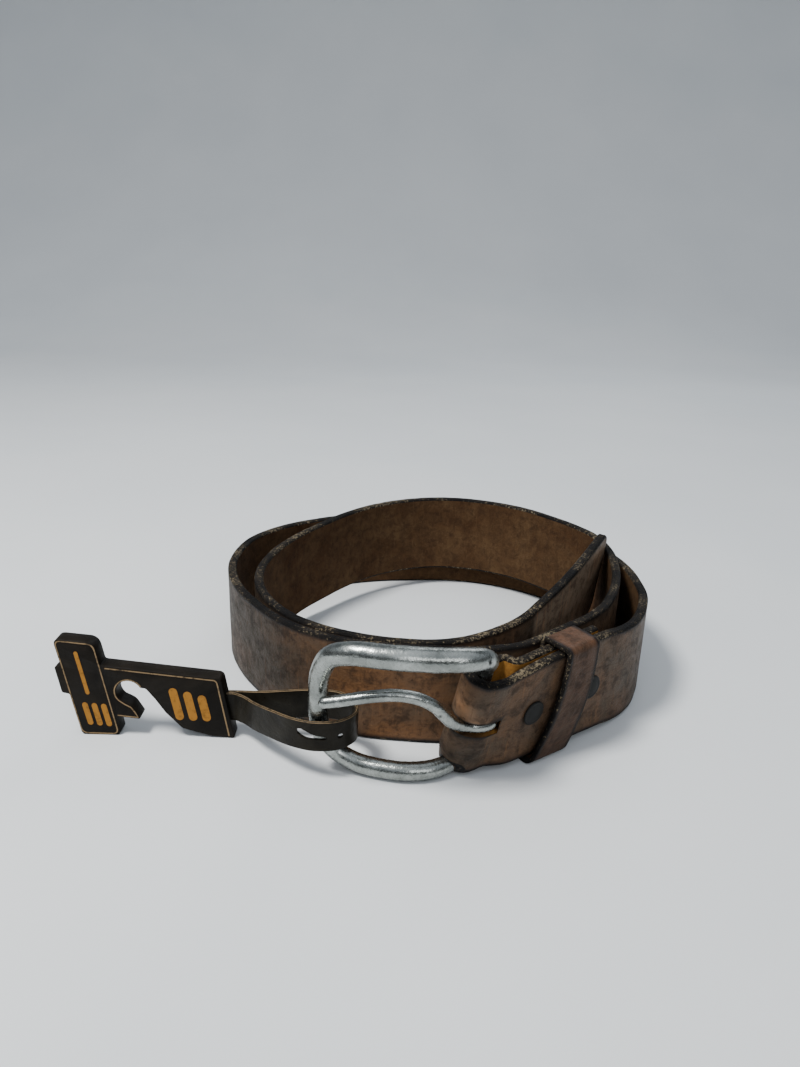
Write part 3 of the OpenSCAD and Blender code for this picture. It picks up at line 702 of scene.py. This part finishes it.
def make_keeper():
    gap, mid, turn = 0.35, KEEPER_T / 2, 1.9
    lo, hi = -STRAP_T / 2 - 4 * gap - mid, LAYER_SHIFT + STRAP_T / 2 + 2 * gap + mid
    base, roof = -gap - mid, STRAP_W + gap + mid
    corners = [(hi - turn, base + turn, -90), (hi - turn, roof - turn, 0),
               (lo + turn, roof - turn, 90), (lo + turn, base + turn, 180)]
    turns = [[[x + turn * math.cos(math.radians(c + a)), y + turn * math.sin(math.radians(c + a)), c + a]
              for a in range(0, 91, 15)] for x, y, c in corners]
    rise = np.linspace(0.08, 0.92, 19) * STRAP_W
    loop = (turns[0] + [[hi, h, 0] for h in rise] + turns[1] + turns[2]
            + [[lo - 0.25 * math.sin(math.pi * h / STRAP_W), h, 180]
               for h in rise[::-1]] + turns[3])
    section = rim(KEEPER_W, KEEPER_T, 0.6, 8, 2, 3)
    rings, stops, run = [], [], 0
    for i, (x, y, a) in enumerate(loop):
        if i:
            run += math.hypot(x - loop[i - 1][0], y - loop[i - 1][1])
        stops.append(run)
        ring = []
        for o, along, zone in section:
            ca, sa = math.cos(math.radians(a)), math.sin(math.radians(a))
            edge = abs(along / KEEPER_W - 0.5) * 2
            shift, h = x + o * ca, y + o * sa
            k = h / STRAP_W
            s = KEEPER_S + along - KEEPER_W / 2 + KEEPER_SKEW * (0.5 - (1 - k)**2)
            s += 0.28 * ripple(run, 4, 7 + round(along)) * edge**4
            p, t = flat_at(s, shift), flat_top(s)
            ring.append(np.array([p[0] + t[0] * k, p[1] + t[1] * k, FOLD_RISE + h]))
        rings.append(ring)
    verts, faces = skin(rings, closed=True)
    m = len(section)
    zones = [section[j][2] for _ in rings for j in range(m)]
    piece = mesh_piece("keeper_leather", verts, faces, "keeper_loop",
                       [KEEPER_GRAIN, EDGE, FLESH], zones)
    mesh = piece.data
    add_values(mesh, "tone", np.repeat([min(0.6, 0.25 + y / 100) for _, y, _ in loop], m))
    # Painted light: the keeper is painted lighter towards its top
    add_values(mesh, "shade", np.repeat([0.62 + 0.003 * y for _, y, _ in loop], m))
    grid = mesh.uv_layers.new(name="UVMap")
    for polygon in mesh.polygons:
        rows = [mesh.loops[l].vertex_index // m for l in polygon.loop_indices]
        wraps = max(rows) - min(rows) > 1
        for l, row in zip(polygon.loop_indices, rows):
            u = run + 2 if wraps and row == 0 else stops[row]
            grid.data[l].uv = (u * MM, section[mesh.loops[l].vertex_index % m][1] * MM)
    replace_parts(piece, "keeper")


# ---- The snaps ----

def snap_place(s):
    """The front layer's middle at a snap, with +Z pointing outwards."""
    q, t, share = flat_at(s, 0), flat_top(s), SNAP_H / STRAP_W
    d = unit(FLAT_DIR - FLAT_TILT / (FLAT_END - FLAT_S) * share)
    lean = math.asin((t[0] * d[1] - t[1] * d[0]) / STRAP_W)
    at = Vector((q[0] + t[0] * share, q[1] + t[1] * share, FOLD_RISE + SNAP_H * math.cos(lean)))
    return (Matrix.Translation(at) @ Matrix.Rotation(math.atan2(d[1], d[0]) - math.pi / 2, 4, "Z")
            @ Matrix.Rotation(math.pi / 2 + lean, 4, "Y"))


def make_cap(node, s):
    """A shallow domed cap with a rolled rim and its hollow stem, turned as one profile."""
    top = STRAP_T / 2 + SNAP_CLEAR
    profile = [(1.35, -STRAP_T / 2 - 0.4), (1.75, -STRAP_T / 2 - 0.4), (1.75, top), (CAP_R - 0.2, top),
               (CAP_R, top + 0.15), (CAP_R, top + 0.4), (CAP_R - 0.25, top + 0.62),
               (CAP_R - 0.7, top + 0.66), (CAP_R - 1.0, top + 0.62), (CAP_R - 1.3, top + 0.70),
               (2.2, top + 0.88), (1.2, top + 0.97), (0.4, top + 1.0)]
    sides = 56
    place = snap_place(s)
    rings = [[np.array(place @ Vector((r * math.cos(a), r * math.sin(a), z)))
              for a in 2 * math.pi * np.arange(sides) / sides] for r, z in profile]
    verts, faces = skin(rings)
    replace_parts(mesh_piece(node + "_paint", verts, faces, "belt", [PAINT], sharp=60), node)


# ---- The hanger ----

def rounded(points, radii):
    """A closed outline with its corners rounded; a radius of 0 keeps a corner."""
    out = []
    for k, (p, r) in enumerate(zip(points, radii)):
        p, a, b = np.array(p), np.array(points[k - 1]), np.array(points[(k + 1) % len(points)])
        start = p + unit(a - p) * min(r, 0.45 * np.linalg.norm(a - p))
        end = p + unit(b - p) * min(r, 0.45 * np.linalg.norm(b - p))
        steps = np.linspace(0, 1, 7) if r else [0]
        out += [(1 - t)**2 * start + 2 * t * (1 - t) * p + t**2 * end for t in steps]
    return out


def make_plate():
    before, after = [1.6, 1.6, 0.5, 0.8, 0.8, 0.5, 2.8, 3.2, 0.8, 1.8, 0.8] + [0.6] * 5, [1.5, 1.2, 0.8]
    # The points of the hook's arc stay as they are
    radii = before + [0] * (len(PLATE) - len(before) - len(after)) + after
    outline = rounded(PLATE, radii)
    n = len(outline)
    verts = [[PLATE_FOOT + x, y, z] for y in (PLATE_BACK - PLATE_T, PLATE_BACK) for x, z in outline]
    faces = [tuple(range(n))[::-1], tuple(range(n, 2 * n))]
    faces += [(i, (i + 1) % n, n + (i + 1) % n, n + i) for i in range(n)]
    piece = mesh_piece("hanger_plate_plastic", verts, faces, "hanger",
                       [PLATE_MAT], sharp=35)
    shape = bmesh.new()
    shape.from_mesh(piece.data)
    bmesh.ops.recalc_face_normals(shape, faces=shape.faces)
    rims = [e for e in shape.edges
            if abs(e.verts[0].co.y - e.verts[1].co.y) < 1e-6 and e.calc_face_angle(0) > 1.2]
    bmesh.ops.bevel(shape, geom=rims, offset=0.25 * MM, segments=2, profile=0.5, affect="EDGES",
                    clamp_overlap=True)
    shape.to_mesh(piece.data)
    shape.free()
    for polygon in piece.data.polygons:
        polygon.use_smooth = True
    piece.data.set_sharp_from_angle(angle=math.radians(50))
    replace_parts(piece, "hanger_plate")


def rubbed_line(name, points, closed=False, width=0.42):
    """A thin pale line on the plate's front."""
    points = np.array(points)
    front, rings = PLATE_BACK - PLATE_T, []
    for i, p in enumerate(points):
        a, b = (points[i - 1], points[(i + 1) % len(points)]) if closed else (
            points[max(0, i - 1)], points[min(len(points) - 1, i + 1)])
        d = unit(b - a)
        side = np.array([-d[1], d[0]]) * width * (0.5 + 0.3 * ripple(i, 3, len(points)))
        edges = (p + side, 0.05), (p + side, -0.07), (p - side, -0.07), (p - side, 0.05)
        rings.append([[PLATE_FOOT + q[0], front + y, q[1]] for q, y in edges])
    verts, faces = skin(rings, closed)
    mesh_piece(name, verts, faces, "hanger", [LINE])


def make_lines():
    """The raised rims round the cross bar, along the stem and round the hook, rubbed pale."""
    bar = np.array([[0, 0], [-13.8, 0], [-20.3, 37.8], [-6.2, 36.6]])
    middle = bar.mean(axis=0)
    rubbed_line("rim_bar", rounded(middle + (bar - middle) * [0.93, 0.965], [2.2] * 4), True)
    rubbed_line("rim_stem", rounded([[-3.2, 26.9], [35.4, 23.2], [38.9, 0.9]], [0, 1.2, 0]))
    turn = np.radians(np.arange(28, 232, 12))
    ring = HOOK_AT + (HOOK_R + 0.5) * np.stack([np.cos(turn), np.sin(turn)], axis=1)
    rubbed_line("rim_hook", [*ring, [2.4, 12.9], [4.6, 11.6], [5.9, 9.6], [6.9, 7.6], [4, 7.8], [-0.4, 8.3]])


def print_bar(name, x, z, length, width, lean):
    """A plain ochre bar printed on the plate's front, with round ends. lean is in degrees."""
    a = math.radians(lean)
    along, side = np.array([math.cos(a), math.sin(a)]), np.array([-math.sin(a), math.cos(a)])
    rim_points = []
    for end in (1, -1):
        for k in range(9):
            t = math.pi * k / 8 - math.pi / 2
            rim_points.append([x, z] + end * (along * (length / 2 - width / 2 + width / 2 * math.cos(t))
                                              + side * width / 2 * math.sin(t)))
    front = PLATE_BACK - PLATE_T
    rings = [[[PLATE_FOOT + q[0], y, q[1]] for q in rim_points] for y in (front + 0.1, front - 0.06)]
    verts, faces = skin(rings)
    mesh_piece(name, verts, faces, "hanger", [PRINT])


def make_prints():
    """Plain bars where the hanger is printed: three on the cross bar, a line up it, three on the stem."""
    for k in range(3):
        print_bar(f"print_foot_{k}", -10.9 + 3.3 * k, 8.6 - 0.2 * k, 9.2, 2.0, 100)
        print_bar(f"print_stem_{k}", 20.8 + 4.9 * k, 13.4 - 0.7 * k, 13.0 - 1.2 * k, 3.0, 100)
    print_bar("print_line", -11.4, 24.8, 17, 1.4, 99.5)


def make_band():
    path = smooth([[*q, 0, 0] for q in BAND], 1.2)
    section = rim(BAND_W, BAND_T, 0.35, 8, 2, 3)
    rings = []
    run = reach(path)
    for i, q in enumerate(path):
        d = ahead(path, i)
        out = unit(np.cross(d, [0, 0, 1]))
        up = unit(np.cross(out, d))
        ring = []
        for o, h, zone in section:
            o = o + 0.22 * ripple(run[i], 11, h / 6)
            ring.append(q[:3] + out * o + up * h)
        rings.append(ring)
    verts, faces = skin(rings)
    m = len(section)
    # The rubbed line runs along the two corners of the upper edge only
    zones = [1 if section[j][2] == 1 and section[j][1] > BAND_W / 2 and j % 3 == 0 else 0
             for _ in range(len(rings) - 1) for j in range(m)] + [0, 0]
    piece = mesh_piece("hanger_band_plastic", verts, faces, "hanger",
                       [BAND_MAT, LINE], zones)
    # Tear-shaped slot and round hole in the front layer
    holes = [rod([-9.4, -86, 16.6], [-9.4, -77, 16.6], 0.9, 0, 2, 24)]
    tear = [(-23.6, 17.7, 0.9), (-22.4, 17.4, 1.5), (-20.6, 16.9, 1.5), (-18.8, 16.5, 1.1),
            (-17.2, 16.4, 0.8), (-15.2, 16.3, 0.75), (-13.8, 16.2, 0.4)]
    outline = [[x, z + r] for x, z, r in tear] + [[x, z - r] for x, z, r in tear[::-1]]
    rings = [[[x, y, z] for x, z in outline] for y in (-88, -70)]
    holes.append(cutter(*skin(rings), 0, 2))
    cut(piece, holes)
    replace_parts(piece, "hanger_band")


# ---- Floor, light and camera ----

def make_stage():
    """A plain pale floor that curves up behind."""
    sweep = [(-3000, 0), (900, 0)]
    sweep += [(900 + 900 * math.sin(a), 900 - 900 * math.cos(a)) for a in np.linspace(0.1, 1.57, 15)]
    sweep += [(1800, 4000)]
    verts = [(x * MM, y * MM, z * MM) for y, z in sweep for x in (-5000, 5000)]
    faces = [(2 * i, 2 * i + 1, 2 * i + 3, 2 * i + 2) for i in range(len(sweep) - 1)]
    mesh = bpy.data.meshes.new("floor")
    mesh.from_pydata(verts, [], faces)
    for polygon in mesh.polygons:
        polygon.use_smooth = True
    floor = bpy.data.objects.new("floor", mesh)
    bpy.context.scene.collection.objects.link(floor)
    m = Surface("pale_floor")
    cloud = m.noise(m.coords(), 6, 3, 0.5)
    mesh.materials.append(m.set(Base_Color=m.mix(m.span(cloud, 0.3, 0.7), (0.60, 0.625, 0.64),
                                                 (0.64, 0.66, 0.67)), Roughness=0.8))


def add_light(name, at, size, power, colour):
    lamp = bpy.data.lights.new(name, "AREA")
    lamp.shape, lamp.size, lamp.energy, lamp.color = "DISK", size, power, colour
    holder = bpy.data.objects.new(name, lamp)
    holder.location = at
    holder.rotation_euler = (Vector((0.01, 0, 0.02)) - Vector(at)).to_track_quat("-Z", "Y").to_euler()
    bpy.context.scene.collection.objects.link(holder)


def make_light():
    world = bpy.data.worlds.new("soft_room")
    world.use_nodes = True
    nodes, links = world.node_tree.nodes, world.node_tree.links
    place = nodes.new("ShaderNodeTexCoord")
    height = nodes.new("ShaderNodeSeparateXYZ")
    ramp = nodes.new("ShaderNodeValToRGB")
    stops = [(0.0, (0.05, 0.053, 0.056)), (0.3, (0.14, 0.15, 0.16)), (0.6, (0.70, 0.76, 0.84)),
             (1.0, (1.15, 1.22, 1.32))]
    while len(ramp.color_ramp.elements) < len(stops):
        ramp.color_ramp.elements.new(0.5)
    for element, (at, colour) in zip(ramp.color_ramp.elements, stops):
        element.position, element.color = at, (*colour, 1)
    links.new(place.outputs["Generated"], height.inputs[0])
    links.new(height.outputs[2], ramp.inputs[0])
    links.new(ramp.outputs[0], nodes["Background"].inputs["Color"])
    nodes["Background"].inputs["Strength"].default_value = 0.85
    bpy.context.scene.world = world
    add_light("key", (-0.40, -0.25, 0.88), 0.24, 14, (1.0, 0.985, 0.955))
    add_light("front", (0.3, -0.85, 0.5), 0.4, 1.6, (0.97, 0.98, 1.0))
    add_light("rim", (0.35, 0.85, 0.7), 0.5, 2, (0.93, 0.97, 1.0))


def make_camera():
    pitch, roll = math.radians(19.63), math.radians(1.58)
    right = Vector((math.cos(roll), math.sin(roll) * math.sin(pitch), math.sin(roll) * math.cos(pitch)))
    look = Vector((0, math.cos(pitch), -math.sin(pitch)))
    up = right.cross(look)
    lens = bpy.data.cameras.new("camera")
    lens.lens, lens.sensor_width, lens.clip_start = 26.99, 36, 0.01
    camera = bpy.data.objects.new("camera", lens)
    turn = Matrix((right, up, -look)).transposed().to_4x4()
    camera.matrix_world = Matrix.Translation((0.00825, -0.3041, 0.1669)) @ turn
    bpy.context.scene.collection.objects.link(camera)
    bpy.context.scene.camera = camera


def paint_hidden():
    """The snaps' inner pieces keep their CAD shapes."""
    for snap in ("inner_snap", "outer_snap"):
        for part in ("socket", "stud", "post"):
            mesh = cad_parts[f"{snap}_{part}"].data
            mesh.materials.clear()
            mesh.materials.append(METAL)


make_camera()
make_strap()
make_buckle()
make_prong()
make_keeper()
make_cap("inner_snap_cap", SNAP_S)
make_cap("outer_snap_cap", SNAP_S + SNAP_PITCH)
make_plate()
make_prints()
make_lines()
make_band()
paint_hidden()
make_stage()
make_light()
